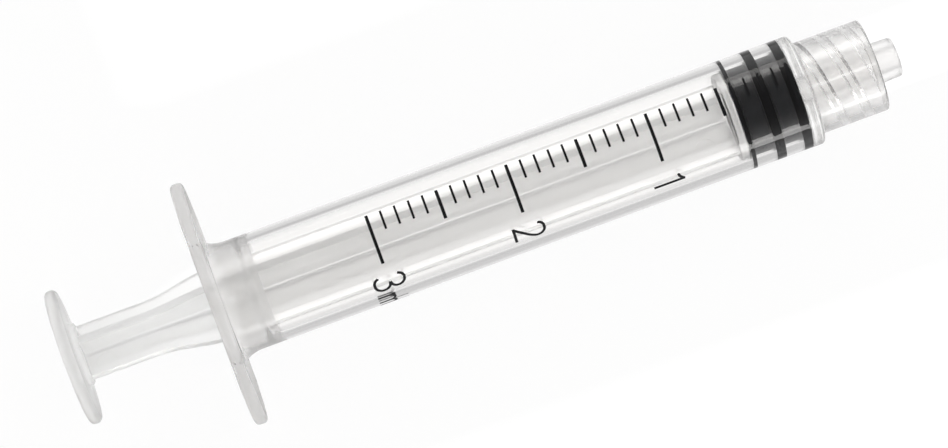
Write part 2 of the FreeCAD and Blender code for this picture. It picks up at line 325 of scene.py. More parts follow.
# %% Picture settings
BOUNCES_IN_ALL = 120
BOUNCES_THROUGH = 40
BOUNCES_OFF_GLOSS = 90

scene = bpy.context.scene
scene.view_settings.view_transform = "Standard"
scene.cycles.max_bounces = BOUNCES_IN_ALL
scene.cycles.transmission_bounces = BOUNCES_THROUGH
scene.cycles.glossy_bounces = BOUNCES_OFF_GLOSS
print("view:", scene.view_settings.view_transform, "bounces:", scene.cycles.max_bounces)

# %% [markdown]
# All three mouldings came out of steel moulds, and a moulded skin is never quite even. It has long
# faint waves from the flow of the hot plastic, and a fine grain from the mould. Several materials need
# it at different sizes, so it is made once, as a shader node group, which puts out a height for the bump
# and a roughness. Each material then gives it its own numbers.

# %% Moulded skin
skin = bpy.data.node_groups.new("moulded_skin", "ShaderNodeTree")
skin.interface.new_socket("Position", in_out="INPUT", socket_type="NodeSocketVector")
for name, start in (("Wave Scale", 300), ("Grain Scale", 6000), ("Grain Share", 0.2),
                    ("Roughness", 0.05), ("Roughness Spread", 0.02)):
    made = skin.interface.new_socket(name, in_out="INPUT", socket_type="NodeSocketFloat")
    made.default_value = start
skin.interface.new_socket("Height", in_out="OUTPUT", socket_type="NodeSocketFloat")
skin.interface.new_socket("Roughness", in_out="OUTPUT", socket_type="NodeSocketFloat")

asked = node_in(skin, "NodeGroupInput")
given = node_in(skin, "NodeGroupOutput")
stretch = node_in(skin, "ShaderNodeVectorMath", operation="MULTIPLY")
stretch.inputs[1].default_value = (0.25, 1, 1)
skin.links.new(asked.outputs["Position"], stretch.inputs[0])
wave = node_in(skin, "ShaderNodeTexNoise")
wave.inputs["Detail"].default_value = 2
skin.links.new(stretch.outputs[0], wave.inputs["Vector"])
skin.links.new(asked.outputs["Wave Scale"], wave.inputs["Scale"])
grain = node_in(skin, "ShaderNodeTexNoise")
grain.inputs["Detail"].default_value = 3
skin.links.new(asked.outputs["Position"], grain.inputs["Vector"])
skin.links.new(asked.outputs["Grain Scale"], grain.inputs["Scale"])
both = node_in(skin, "ShaderNodeMix", data_type="FLOAT")
skin.links.new(asked.outputs["Grain Share"], both.inputs["Factor"])
skin.links.new(wave.outputs["Fac"], both.inputs["A"])
skin.links.new(grain.outputs["Fac"], both.inputs["B"])
skin.links.new(both.outputs["Result"], given.inputs["Height"])
uneven = node_in(skin, "ShaderNodeMath", operation="SUBTRACT")
uneven.inputs[1].default_value = 0.5
skin.links.new(wave.outputs["Fac"], uneven.inputs[0])
spread = node_in(skin, "ShaderNodeMath", operation="MULTIPLY_ADD")
skin.links.new(uneven.outputs[0], spread.inputs[0])
skin.links.new(asked.outputs["Roughness Spread"], spread.inputs[1])
skin.links.new(asked.outputs["Roughness"], spread.inputs[2])
skin.links.new(spread.outputs[0], given.inputs["Roughness"])
print("group", skin.name, "has", len(skin.nodes), "nodes")

# %% [markdown]
# The barrel is clear polypropylene, polished like glass along the tube. Its flange and its mouth look
# hazy, as this plastic does where it was moulded against matt steel, so there a finish of its own blurs
# and scatters the light. The rod is the same plastic without the clearing agent, so it is milky all
# through. A scattering volume would be the true way, but in trials it left the rod and all behind it too
# dark, so the rod's surface scatters a little of the light instead and blurs the rest. Its index is set a
# little low, because milky plastic draws weaker lines at its edges than clear plastic does.
#
# The stopper is black rubber. Where its ribs press against the barrel there is no air to reflect
# anything, so the ribs get a rubber without gloss. The ink is a matt black.

# %% Finishes
def finish(name, colour, skin_sizes, bump, **shader_sizes):
    """A material with one Principled shader, its moulded skin and its own plain settings."""
    material = bpy.data.materials.new(name)
    material.use_nodes = True
    tree = material.node_tree
    shader = tree.nodes["Principled BSDF"]
    shader.inputs["Base Color"].default_value = (*colour, 1)
    for socket, value in shader_sizes.items():
        shader.inputs[socket.replace("_", " ")].default_value = value
    where = node_in(tree, "ShaderNodeTexCoord")
    own_skin = node_in(tree, "ShaderNodeGroup")
    own_skin.node_tree = skin
    for socket, value in skin_sizes.items():
        own_skin.inputs[socket.replace("_", " ")].default_value = value
    tree.links.new(where.outputs["Object"], own_skin.inputs["Position"])
    tree.links.new(own_skin.outputs["Roughness"], shader.inputs["Roughness"])
    relief = node_in(tree, "ShaderNodeBump")
    relief.inputs["Strength"].default_value = 1
    relief.inputs["Distance"].default_value = mm(bump)
    tree.links.new(own_skin.outputs["Height"], relief.inputs["Height"])
    tree.links.new(relief.outputs["Normal"], shader.inputs["Normal"])
    return material


clear_plastic = finish(
    "clear_polypropylene", (1.0, 0.995, 0.99),
    dict(Wave_Scale=220, Grain_Scale=5000, Grain_Share=0.1, Roughness=0.035, Roughness_Spread=0.03),
    0.004, IOR=1.49, Transmission_Weight=1)
hazy_plastic = finish(
    "hazy_polypropylene", (1.0, 0.995, 0.99),
    dict(Wave_Scale=220, Grain_Scale=5000, Grain_Share=0.2, Roughness=0.48, Roughness_Spread=0.15),
    0.006, IOR=1.49, Transmission_Weight=0.92)
milky_plastic = finish(
    "natural_polypropylene", (0.985, 0.985, 0.98),
    dict(Wave_Scale=260, Grain_Scale=7000, Grain_Share=0.3, Roughness=0.31, Roughness_Spread=0.05),
    0.006, IOR=1.40, Transmission_Weight=0.94)
black_rubber = finish(
    "black_rubber", (0.004, 0.005, 0.008),
    dict(Wave_Scale=700, Grain_Scale=9000, Grain_Share=0.5, Roughness=0.38, Roughness_Spread=0.16),
    0.01, IOR=1.5, Specular_IOR_Level=0.12)
pressed_rubber = finish(
    "pressed_rubber", (0.004, 0.004, 0.005),
    dict(Wave_Scale=700, Grain_Scale=9000, Grain_Share=0.5, Roughness=0.6, Roughness_Spread=0.1),
    0.002, IOR=1.5, Specular_IOR_Level=0)
black_ink = finish(
    "black_ink", (0.006, 0.006, 0.007),
    dict(Wave_Scale=2000, Grain_Scale=12000, Grain_Share=0.6, Roughness=0.5, Roughness_Spread=0.2),
    0.003, IOR=1.45, Specular_IOR_Level=0.15)
print("finishes:", [material.name for material in bpy.data.materials])

# %% [markdown]
# The clear plastic is a little frosted in three places: on the flare round the mouth, inside the collar,
# and on the shoulder round the collar's foot. These places are told apart by how far along the barrel
# they are and how far from its axis. Each is a product of two Map Range nodes that rise from 0 to 1 where
# the frost begins. The frost stays off the collar's outer skin, through which the thread is seen sharp.

# %% Frosted places
FROSTED = [
    {"frost": 0.16, "from_x": (-56.3, -57.1), "from_r": (5.4, 5.5)},
    {"frost": 0.30, "from_x": (-1.9, -1.1), "from_r": (4.6, 4.4)},
    {"frost": 0.20, "from_x": (-1.7, -1.0), "from_r": (4.8, 5.0)},
]


def rise(tree, value, start, end):
    """A node's output that rises from 0 to 1 between two values, given in millimetres."""
    ramp = node_in(tree, "ShaderNodeMapRange", interpolation_type="SMOOTHSTEP")
    ramp.inputs["From Min"].default_value = mm(start)
    ramp.inputs["From Max"].default_value = mm(end)
    tree.links.new(value, ramp.inputs["Value"])
    return ramp.outputs["Result"]


tree = clear_plastic.node_tree
where = node_in(tree, "ShaderNodeTexCoord")
apart = node_in(tree, "ShaderNodeSeparateXYZ")
tree.links.new(where.outputs["Object"], apart.inputs[0])
crosswise = node_in(tree, "ShaderNodeVectorMath", operation="MULTIPLY")
crosswise.inputs[1].default_value = (0, 1, 1)
tree.links.new(where.outputs["Object"], crosswise.inputs[0])
from_axis = node_in(tree, "ShaderNodeVectorMath", operation="LENGTH")
tree.links.new(crosswise.outputs[0], from_axis.inputs[0])
own_skin = next(node for node in tree.nodes if node.type == "GROUP")
roughness = own_skin.outputs["Roughness"]
for place in FROSTED:
    both = node_in(tree, "ShaderNodeMath", operation="MULTIPLY")
    tree.links.new(rise(tree, apart.outputs["X"], *place["from_x"]), both.inputs[0])
    tree.links.new(rise(tree, from_axis.outputs["Value"], *place["from_r"]), both.inputs[1])
    rougher = node_in(tree, "ShaderNodeMath", operation="MULTIPLY_ADD")
    tree.links.new(both.outputs[0], rougher.inputs[0])
    rougher.inputs[1].default_value = place["frost"]
    tree.links.new(roughness, rougher.inputs[2])
    roughness = rougher.outputs[0]
tree.links.new(roughness, tree.nodes["Principled BSDF"].inputs["Roughness"])
print("frosted places:", len(FROSTED))

# %% [markdown]
# Most of the syringe is turned: round about one axis. Each round piece starts as one vertex, which is
# extruded from corner to corner until it has drawn half of the piece's section. The Bevel operator
# rounds the corners that are rounded on the real moulding, and Spin turns the outline once around. A
# revolved outline gives even rings of four-sided faces, which refract without a ripple.

# %% Drawing and turning outlines
ROUND_STEPS = 192
WELD = 0.0005


def new_point(name, x, r):
    """A new piece in edit mode that is one vertex, at a place in millimetres."""
    bpy.ops.object.select_all(action="DESELECT")
    bpy.ops.mesh.primitive_plane_add(size=mm(1))
    piece = bpy.context.object
    piece.name = name
    piece.data.name = name
    bpy.ops.object.mode_set(mode="EDIT")
    bpy.ops.mesh.select_mode(type="VERT")
    bpy.ops.mesh.select_all(action="SELECT")
    bpy.ops.mesh.merge(type="CENTER")
    bpy.ops.transform.translate(value=(mm(x), mm(r), 0))
    return piece


def draw(corners):
    """Extrude the chosen vertex, which is at the first corner, to each of the others."""
    for (x, r), (next_x, next_r) in zip(corners, corners[1:]):
        step = (mm(next_x - x), mm(next_r - r), 0)
        bpy.ops.mesh.extrude_region_move(TRANSFORM_OT_translate={"value": step})


def round_corners(radius, *corners, segments=4):
    """Round these corners of the outline."""
    places = [Vector((mm(x), mm(r), 0)) for x, r in corners]
    found = choose("VERT", lambda vertex: min((vertex.co - spot).length for spot in places) < mm(0.001))
    bpy.ops.mesh.bevel(affect="VERTICES", offset=mm(radius), segments=segments)
    return found


def spin_round():
    """Turn the whole outline once about the syringe's axis."""
    bpy.ops.mesh.select_mode(type="VERT")
    bpy.ops.mesh.select_all(action="SELECT")
    bpy.ops.mesh.spin(steps=ROUND_STEPS, angle=math.tau, center=(0, 0, 0), axis=(1, 0, 0))
    bpy.ops.mesh.select_all(action="SELECT")
    bpy.ops.mesh.remove_doubles(threshold=mm(WELD))
    bpy.ops.mesh.normals_make_consistent(inside=False)


def turned(name, corners, rounds=()):
    """A closed turned piece from half of its section, with some corners rounded: (radius, corner)."""
    piece = new_point(name, *corners[0])
    draw(corners)
    if corners[0][1] > 0:
        draw([corners[-1], corners[0]])
        bpy.ops.mesh.select_all(action="SELECT")
        bpy.ops.mesh.remove_doubles(threshold=mm(WELD))
    for radius, corner in rounds:
        round_corners(radius, corner)
    spin_round()
    bpy.ops.object.mode_set(mode="OBJECT")
    return piece


print("rings of", ROUND_STEPS, "steps, each", round(360 / ROUND_STEPS, 3), "degrees")

# %% [markdown]
# Two numbers say whether a mesh is sound. A closed skin has no open edge, and its volume comes out above 0
# only where the faces point outwards. A piece is then shaded smooth: its real edges stay sharp, and the
# Weighted Normal modifier keeps flat faces flat right up to a rounded edge.

# %% Measuring and smoothing
SHARP_FROM = 34


def open_edges(piece):
    """How many edges of a mesh don't join exactly two faces."""
    shape = bmesh.new()
    shape.from_mesh(piece.data)
    count = sum(1 for edge in shape.edges if len(edge.link_faces) != 2)
    shape.free()
    return count


def volume(piece):
    """A closed mesh's volume in cubic millimetres, which is above 0 where the faces point outwards."""
    shape = bmesh.new()
    shape.from_mesh(piece.data)
    cubic_metres = shape.calc_volume(signed=True)
    shape.free()
    return cubic_metres * 1e9


def smooth(piece):
    """Point the faces outwards and shade the piece smooth, with its real edges left sharp."""
    only(piece)
    bpy.ops.object.mode_set(mode="EDIT")
    bpy.ops.mesh.select_all(action="SELECT")
    bpy.ops.mesh.normals_make_consistent(inside=False)
    bpy.ops.object.mode_set(mode="OBJECT")
    bpy.ops.object.shade_smooth_by_angle(angle=math.radians(SHARP_FROM))
    flat_first = piece.modifiers.new("flat faces stay flat", "WEIGHTED_NORMAL")
    flat_first.keep_sharp = True
    bpy.ops.object.modifier_apply(modifier=flat_first.name)
    print(piece.name, "faces:", len(piece.data.polygons), "open edges:", open_edges(piece),
          "volume:", round(volume(piece), 1), "mm3")


print("edges stay sharp from", SHARP_FROM, "degrees")

# %% [markdown]
# The barrel is one moulding with four features: the tube, the flange, the tip and the threaded collar.
# Its section is drawn as two open lines. One is the outside, from the flange along the tube and over the
# collar. The other is the inside, from the floor of the collar over the tip, down the bore, and along the
# tube to the mouth. Between their ends two gaps stay open. The flange isn't round and the thread isn't
# turned, so they are extruded from the gaps' edges afterwards, and the whole stays one clean skin.

# %% Barrel, the turned lines
BARREL_R = 5.6
BORE_R = 4.7
BACK = -62.0
FLANGE_FRONT = -60.7
FLARE_R = 6.18
FLARE_FRONT = -58.8
MOUTH_FRONT = -56.6
COLLAR_R = 4.7
COLLAR_END = 7.0
THREAD_END = 6.4
THREAD_ROOT_R = 4.0
TIP_END = 9.45
TIP_END_R = 1.985
TIP_ROOT_R = 2.2685
TIP_BORE_R = 0.95
FOOT_R = TIP_ROOT_R + 0.35

flare_rise = FLARE_R - BARREL_R
flare_length = FLARE_FRONT - FLANGE_FRONT
flare_round = (flare_length ** 2 + flare_rise ** 2) / (2 * flare_rise)
flare_turn = math.asin(flare_length / flare_round)
flare = []
for step in range(12, -1, -1):
    angle = flare_turn * step / 12
    flare.append((FLARE_FRONT - flare_round * math.sin(angle),
                  BARREL_R + flare_round * (1 - math.cos(angle))))
outside = flare + [
    (0, BARREL_R), (0, COLLAR_R), (COLLAR_END, COLLAR_R),
    (COLLAR_END, THREAD_ROOT_R + 0.3), (THREAD_END, THREAD_ROOT_R + 0.08),
]
inside = [
    (0, FOOT_R), (0, TIP_ROOT_R), (TIP_END, TIP_END_R), (TIP_END, TIP_BORE_R),
    (-0.75, TIP_BORE_R), (-1.05, BORE_R), (-56.5, BORE_R), (-57.3, BORE_R - 0.15),
    (-58.0, 5.0), (BACK, 5.2), (BACK, FLARE_R),
]
barrel = new_point("clear_barrel", *outside[0])
draw(outside)
last_x, last_r = outside[-1]
first_x, first_r = inside[0]
bpy.ops.mesh.duplicate_move(
    TRANSFORM_OT_translate={"value": (mm(first_x - last_x), mm(first_r - last_r), 0)})
draw(inside)
round_corners(0.45, (0, BARREL_R), segments=6)
round_corners(0.2, (0, COLLAR_R), (0, TIP_ROOT_R))
round_corners(0.3, (COLLAR_END, COLLAR_R), (BACK, 5.2), segments=5)
round_corners(0.35, (TIP_END, TIP_END_R), segments=6)
round_corners(0.06, (COLLAR_END, THREAD_ROOT_R + 0.3), (TIP_END, TIP_BORE_R), segments=2)
round_corners(0.12, (-1.05, BORE_R), (-0.75, TIP_BORE_R), segments=3)
round_corners(0.25, (-57.3, BORE_R - 0.15), (-56.5, BORE_R), (-58.0, 5.0), segments=3)
spin_round()
print("turned vertices:", len(bmesh.from_edit_mesh(barrel.data).verts))

# %% [markdown]
# The flange is an oval plate. Each of its two flat sides starts from the round edge that the gap left:
# the edge is extruded, scaled up to the oval's end radius, and its two halves are moved apart. A bridge
# between the two ovals makes the rim, and a bevel rounds it as on the moulding.

# %% Barrel, the flange
FLANGE_END_R = 6.75
FLANGE_HALF_SPAN = 12.5


def flange_side(x):
    """Extrude the round edge at x outwards to the flange's oval."""
    def at_gap(edge):
        spot = middle(edge)
        return edge.is_boundary and abs(along(spot) - x) < 0.01 and off_axis(spot) > 6

    def on_half(vertex, side):
        new = off_axis(vertex.co) > FLANGE_END_R - 0.05 and abs(along(vertex.co) - x) < 0.01
        return new and vertex.co.y * side > mm(0.001)

    choose("EDGE", at_gap)
    bpy.ops.mesh.extrude_region_move(TRANSFORM_OT_translate={"value": (0, 0, 0)})
    grow = FLANGE_END_R / FLARE_R
    bpy.ops.transform.resize(value=(1, grow, grow), center_override=(0, 0, 0))
    for side in (1, -1):
        choose("VERT", lambda vertex: on_half(vertex, side))
        bpy.ops.transform.translate(value=(0, mm(side * (FLANGE_HALF_SPAN - FLANGE_END_R)), 0))


def on_open_oval(edge):
    """An edge of one of the two ovals."""
    return edge.is_boundary and along(middle(edge)) < -60 and off_axis(middle(edge)) > 6.5


def on_rim(edge):
    """An edge that runs round the flange's rim, on either side."""
    start, end = (vertex.co for vertex in edge.verts)
    same_side = abs(along(start) - along(end)) < 0.01
    return same_side and min(off_axis(start), off_axis(end)) > 6.7 and along(start) < -60


flange_side(FLANGE_FRONT)
flange_side(BACK)
print("edges to bridge:", choose("EDGE", on_open_oval))
bpy.ops.mesh.bridge_edge_loops()
bpy.ops.mesh.select_all(action="SELECT")
bpy.ops.mesh.normals_make_consistent(inside=False)
print("rim edges:", choose("EDGE", on_rim))
bpy.ops.mesh.bevel(affect="EDGES", offset=mm(0.45), segments=6)
bpy.ops.object.mode_set(mode="OBJECT")

# %% [markdown]
# The lock thread stands inside the collar: two ridges, half a turn apart, that climb five millimetres in
# a turn. Cut across, each ridge has a flat crest and a straight flank down to the root on either side. The
# section is given here as a radius for each step round the ring.

# %% Barrel, the thread's section
THREAD_LEAD = 5.0
THREAD_CREST_R = 3.5
RIDGE_AT = -7.5
ONE_STEP = 360 / ROUND_STEPS
CREST_STEPS = 10
FOOT_STEPS = 21
LIFTS = 96


def steps_from_ridge(place):
    """How many steps round the ring a place is from the middle of the nearer ridge."""
    angle = math.degrees(math.atan2(place.z, place.y)) - RIDGE_AT
    return round(abs((angle + 90) % 180 - 90) / ONE_STEP)


def section_r(steps):
    """The section's radius so many steps from the ridge's middle: crest, straight flank, then root."""
    if steps <= CREST_STEPS:
        return THREAD_CREST_R
    past_crest = math.radians((steps - CREST_STEPS) * ONE_STEP)
    to_foot = math.radians((FOOT_STEPS - steps) * ONE_STEP)
    flank = THREAD_CREST_R * THREAD_ROOT_R * math.sin(past_crest + to_foot)
    return flank / (THREAD_CREST_R * math.sin(past_crest) + THREAD_ROOT_R * math.sin(to_foot))


def under_ridge(vertex, steps):
    """A vertex of the root ring that is so many steps from a ridge's middle."""
    on_ring = abs(along(vertex.co)) < 0.01 and abs(off_axis(vertex.co) - THREAD_ROOT_R) < 0.01
    return on_ring and steps_from_ridge(vertex.co) == steps


def open_at(edge, x):
    """An edge of a gap at x."""
    return edge.is_boundary and abs(along(middle(edge)) - x) < 0.01


print("ridge from root to crest:", round(THREAD_ROOT_R - section_r(0), 2), "mm")

# %% [markdown]
# The ring round the tip's foot is extruded outwards, to the root of the thread, which makes the collar's
# floor. The vertices under each ridge are drawn in to the ridge's section. The whole ring is then extruded
# and turned, over and over, so every edge of the thread is an edge of the mesh. At the top it is bridged
# to the lead-in, and the barrel is closed.

# %% Barrel, the thread
only(barrel)
bpy.ops.object.mode_set(mode="EDIT")
choose("EDGE", lambda edge: open_at(edge, 0))
bpy.ops.mesh.extrude_region_move(TRANSFORM_OT_translate={"value": (0, 0, 0)})
to_root = THREAD_ROOT_R / FOOT_R
bpy.ops.transform.resize(value=(1, to_root, to_root), center_override=(0, 0, 0))
for steps in range(FOOT_STEPS):
    choose("VERT", lambda vertex: under_ridge(vertex, steps))
    shrink = section_r(steps) / THREAD_ROOT_R
    bpy.ops.transform.resize(value=(1, shrink, shrink), center_override=(0, 0, 0))

lift = THREAD_END / LIFTS
turn_each = math.radians(360 * lift / THREAD_LEAD)
choose("EDGE", lambda edge: open_at(edge, 0))
for count in range(LIFTS):
    bpy.ops.mesh.extrude_region_move(TRANSFORM_OT_translate={"value": (mm(lift), 0, 0)})
    bpy.ops.transform.rotate(value=-turn_each, orient_axis="X", center_override=(0, 0, 0))
print("thread turns:", round(THREAD_END / THREAD_LEAD, 2), "edges to bridge:",
      choose("EDGE", lambda edge: open_at(edge, THREAD_END)))
bpy.ops.mesh.bridge_edge_loops()
bpy.ops.object.mode_set(mode="OBJECT")
smooth(barrel)

# %% [markdown]
# The barrel gets two finishes. The clear one is on the whole of it, and the faces of the flange and of the
# inside of the mouth are then picked by their place and given the hazy one.

# %% Barrel, its two finishes
barrel.data.materials.append(clear_plastic)
barrel.data.materials.append(hazy_plastic)


def in_hazy_place(face):
    """A face of the flange, or of the inside of the mouth."""
    spot = face.calc_center_median()
    inside_mouth = along(spot) < MOUTH_FRONT and off_axis(spot) < BARREL_R - 0.15
    return inside_mouth or along(spot) < FLANGE_FRONT + 0.2


bpy.ops.object.mode_set(mode="EDIT")
hazy = choose("FACE", in_hazy_place)
barrel.active_material_index = 1
bpy.ops.object.material_slot_assign()
bpy.ops.object.mode_set(mode="OBJECT")
print("hazy faces of the flange and the mouth:", hazy)
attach(barrel, "barrel")
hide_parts("barrel")

# %% [markdown]
# The stopper is pressed rubber. Its three ribs are a little wider than the bore, so they lie against the
# wall without any air between, and seen through the barrel they look truly black out to its edge. The
# grooves between them stand back from the wall and look a shade lighter. Inside is the pocket that
# the rod's head is pushed into.

# %% Stopper
RIB_R = BORE_R + 0.03
GROOVE_R = 4.42
stopper = turned(
    "rubber_stopper",
    [
        (-0.85, 0), (-0.85, 1.1), (-1.15, RIB_R - 0.12), (-1.27, RIB_R), (-2.15, RIB_R),
        (-2.47, GROOVE_R), (-3.89, GROOVE_R), (-4.05, RIB_R), (-5.0, RIB_R), (-5.16, GROOVE_R),
        (-6.94, GROOVE_R), (-7.1, RIB_R), (-7.5, RIB_R), (-7.5, 2.25), (-6.1, 2.25), (-6.1, 3.05),
        (-4.75, 3.05), (-3.7, 1.45), (-3.7, 0),
    ],
    rounds=[
        (0.3, (-0.85, 1.1)), (0.06, (-1.15, RIB_R - 0.12)), (0.06, (-1.27, RIB_R)), (0.08, (-2.15, RIB_R)),
        (0.12, (-2.47, GROOVE_R)), (0.08, (-3.89, GROOVE_R)), (0.06, (-4.05, RIB_R)), (0.06, (-5.0, RIB_R)),
        (0.08, (-5.16, GROOVE_R)), (0.08, (-6.94, GROOVE_R)), (0.06, (-7.1, RIB_R)), (0.08, (-7.5, RIB_R)),
        (0.15, (-7.5, 2.25)),
    ])
smooth(stopper)
stopper.data.materials.append(black_rubber)
stopper.data.materials.append(pressed_rubber)
bpy.ops.object.mode_set(mode="EDIT")
pressed = choose("FACE", lambda face: off_axis(face.calc_center_median()) > BORE_R)
stopper.active_material_index = 1
bpy.ops.object.material_slot_assign()
bpy.ops.object.mode_set(mode="OBJECT")
print("pressed faces:", pressed)
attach(stopper, "stopper")
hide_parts("stopper")

# %% [markdown]
# The rod's shaft is a cross of four ribs, thick at the root and thinner at the tip, because it has to
# leave its mould. It starts as a long square core. Each side of the core is extruded outwards and
# narrowed, and the four inner corners get a bevel.

# %% Rod, the cross
CORE_HALF = 0.527
RIB_REACH = 5.0
RIB_HALF_AT_REACH = 0.331
THUMB_BACK = -77.1
THUMB_FRONT = -75.9
BOSS_FRONT = -75.3
SUPPORT_BACK = -8.45
SUPPORT_FRONT = -7.55
ROD_TURN = 28

bpy.ops.object.select_all(action="DESELECT")
bpy.ops.mesh.primitive_cube_add(size=1)
rod = bpy.context.object
rod.name = "plunger"
rod.data.name = "plunger"
bpy.ops.object.mode_set(mode="EDIT")
bpy.ops.mesh.select_all(action="SELECT")
shaft_start = THUMB_FRONT - 0.4
shaft_end = SUPPORT_BACK + 0.4
core_size = (mm(shaft_end - shaft_start), mm(2 * CORE_HALF), mm(2 * CORE_HALF))
bpy.ops.transform.resize(value=core_size, center_override=(0, 0, 0))
bpy.ops.transform.translate(value=(mm((shaft_start + shaft_end) / 2), 0, 0))
narrow = RIB_HALF_AT_REACH / CORE_HALF


def on_core_side(face, outwards):
    """The core's side that faces outwards."""
    return face.normal.dot(outwards) > 0.9 and off_axis(face.calc_center_median()) < CORE_HALF + 0.01


for outwards in (Vector((0, 1, 0)), Vector((0, -1, 0)), Vector((0, 0, 1)), Vector((0, 0, -1))):
    choose("FACE", lambda face: on_core_side(face, outwards))
    reach = outwards * mm(RIB_REACH - CORE_HALF)
    bpy.ops.mesh.extrude_region_move(TRANSFORM_OT_translate={"value": reach})
    squeeze = (1, 1, narrow) if outwards.y else (1, narrow, 1)
    bpy.ops.transform.resize(value=squeeze, center_override=(0, 0, 0))


def on_root(edge):
    """One of the four long edges where two ribs meet."""
    return abs(edge.verts[0].co.x - edge.verts[1].co.x) > mm(20) and off_axis(middle(edge)) < 0.8


print("rib roots:", choose("EDGE", on_root))
bpy.ops.mesh.bevel(affect="EDGES", offset=mm(0.4), segments=5)
bpy.ops.mesh.select_all(action="SELECT")
bpy.ops.transform.rotate(value=math.radians(ROD_TURN), orient_axis="X", center_override=(0, 0, 0))
bpy.ops.object.mode_set(mode="OBJECT")

# %% [markdown]
# The ribs are low near the thumb disc, where fingers go, and tall inside the barrel, where they guide the
# rod. That form is easiest to trim: a round envelope is turned, and only what lies within it is kept. A
# Bevel modifier then softens the ribs' edges, as a mould does.

# %% Rod, trimmed to its envelope
def combine(piece, other, operation):
    """Trim, cut or join a piece with another one by a Boolean modifier, and remove the other."""
    only(piece)
    step = piece.modifiers.new("combine", "BOOLEAN")
    step.operation = operation
    step.solver = "EXACT"
    step.object = other
    bpy.ops.object.modifier_apply(modifier=step.name)
    bpy.data.objects.remove(other)
    print(operation.lower(), "leaves faces:", len(piece.data.polygons), "open edges:", open_edges(piece))


envelope = turned(
    "envelope",
    [(THUMB_FRONT - 0.3, 0), (THUMB_FRONT - 0.3, 2.92), (-67.3, 2.92), (-62.5, 4.0),
     (SUPPORT_BACK + 0.3, 4.0), (SUPPORT_BACK + 0.3, 0)],
    rounds=[(1.33, (-67.3, 2.92)), (1.33, (-62.5, 4.0))])
combine(rod, envelope, "INTERSECT")
only(rod)
soften = rod.modifiers.new("soft rib edges", "BEVEL")
soften.width = mm(0.09)
soften.segments = 3
soften.limit_method = "ANGLE"
soften.angle_limit = math.radians(50)
bpy.ops.object.modifier_apply(modifier=soften.name)
print("faces after softening:", len(rod.data.polygons), "open edges:", open_edges(rod))

# %% [markdown]
# The rod's two discs and the head are turned and joined to the cross. The thumb disc has three shallow
# rings in its outer face for grip. Two small round dents on one rib are where the mould's ejector pins
# pushed the hot rod out.

# %% Rod, the discs and the head
def groove(r, depth=0.22):
    """The corners of a round-bottomed ring groove in the thumb disc's outer face, from outside in."""
    corners = []
    for step in range(7):
        angle = math.pi * step / 6
        corners.append((THUMB_BACK + depth * math.sin(angle), r + depth * math.cos(angle)))
    return corners


thumb_disc = turned(
    "thumb_disc",
    [(BOSS_FRONT, 0), (BOSS_FRONT, 3.2), (THUMB_FRONT, 3.2), (THUMB_FRONT, 6.9), (THUMB_BACK, 6.9)]
    + groove(5.1) + groove(3.6) + groove(2.1) + [(THUMB_BACK, 0)],
    rounds=[(0.3, (BOSS_FRONT, 3.2)), (0.1, (THUMB_FRONT, 3.2)), (0.5, (THUMB_FRONT, 6.9)),
            (0.5, (THUMB_BACK, 6.9))])
combine(rod, thumb_disc, "UNION")
head = turned(
    "head",
    [(SUPPORT_BACK, 0), (SUPPORT_BACK, 4.45), (SUPPORT_FRONT, 4.45), (SUPPORT_FRONT, 2.2), (-6.05, 2.2),
     (-6.05, 3.0), (-4.75, 3.0), (-3.75, 1.4), (-3.75, 0)],
    rounds=[(0.2, (SUPPORT_BACK, 4.45)), (0.2, (SUPPORT_FRONT, 4.45)), (0.15, (SUPPORT_FRONT, 2.2)),
            (0.1, (-6.05, 3.0)), (0.15, (-4.75, 3.0)), (0.2, (-3.75, 1.4))])
combine(rod, head, "UNION")

RIB_LEAN = 0.04375
for x, height in ((SUPPORT_BACK - 3.0, 2.55), (BOSS_FRONT + 1.8, 2.01)):
    face_z = 0.55 - RIB_LEAN * height
    bpy.ops.object.select_all(action="DESELECT")
    bpy.ops.mesh.primitive_cylinder_add(vertices=64, radius=mm(1), depth=mm(1))
    pin = bpy.context.object
    bpy.ops.object.mode_set(mode="EDIT")
    bpy.ops.mesh.select_all(action="SELECT")
    bpy.ops.transform.translate(value=(0, 0, mm(0.5 - 0.06)))
    bpy.ops.transform.rotate(value=-math.atan(RIB_LEAN), orient_axis="X", center_override=(0, 0, 0))
    bpy.ops.transform.translate(value=(mm(x), mm(-height), mm(face_z)))
    bpy.ops.transform.rotate(value=math.radians(ROD_TURN), orient_axis="X", center_override=(0, 0, 0))
    bpy.ops.object.mode_set(mode="OBJECT")
    combine(rod, pin, "DIFFERENCE")
smooth(rod)
rod.data.materials.clear()
rod.data.materials.append(milky_plastic)
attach(rod, "plunger_rod")
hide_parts("plunger_rod")

# %% [markdown]
# The scale is one layer of black ink, printed flat and rolled on to the barrel. It is made in the same
# way: the marks, the numbers and the unit are laid out flat, cut into narrow strips so that they can
# bend, and bent to the barrel's radius by a Simple Deform modifier. One millilitre fills 14.4
# millimetres of the bore, and that spaces the marks.

# %% Scale, the marks
INK_R = BARREL_R + 0.003
INK_THICK = 0.02
ZERO_X = -1.6
ONE_ML = 14.43
MARK_TOP = 3.29
MARKS = 31

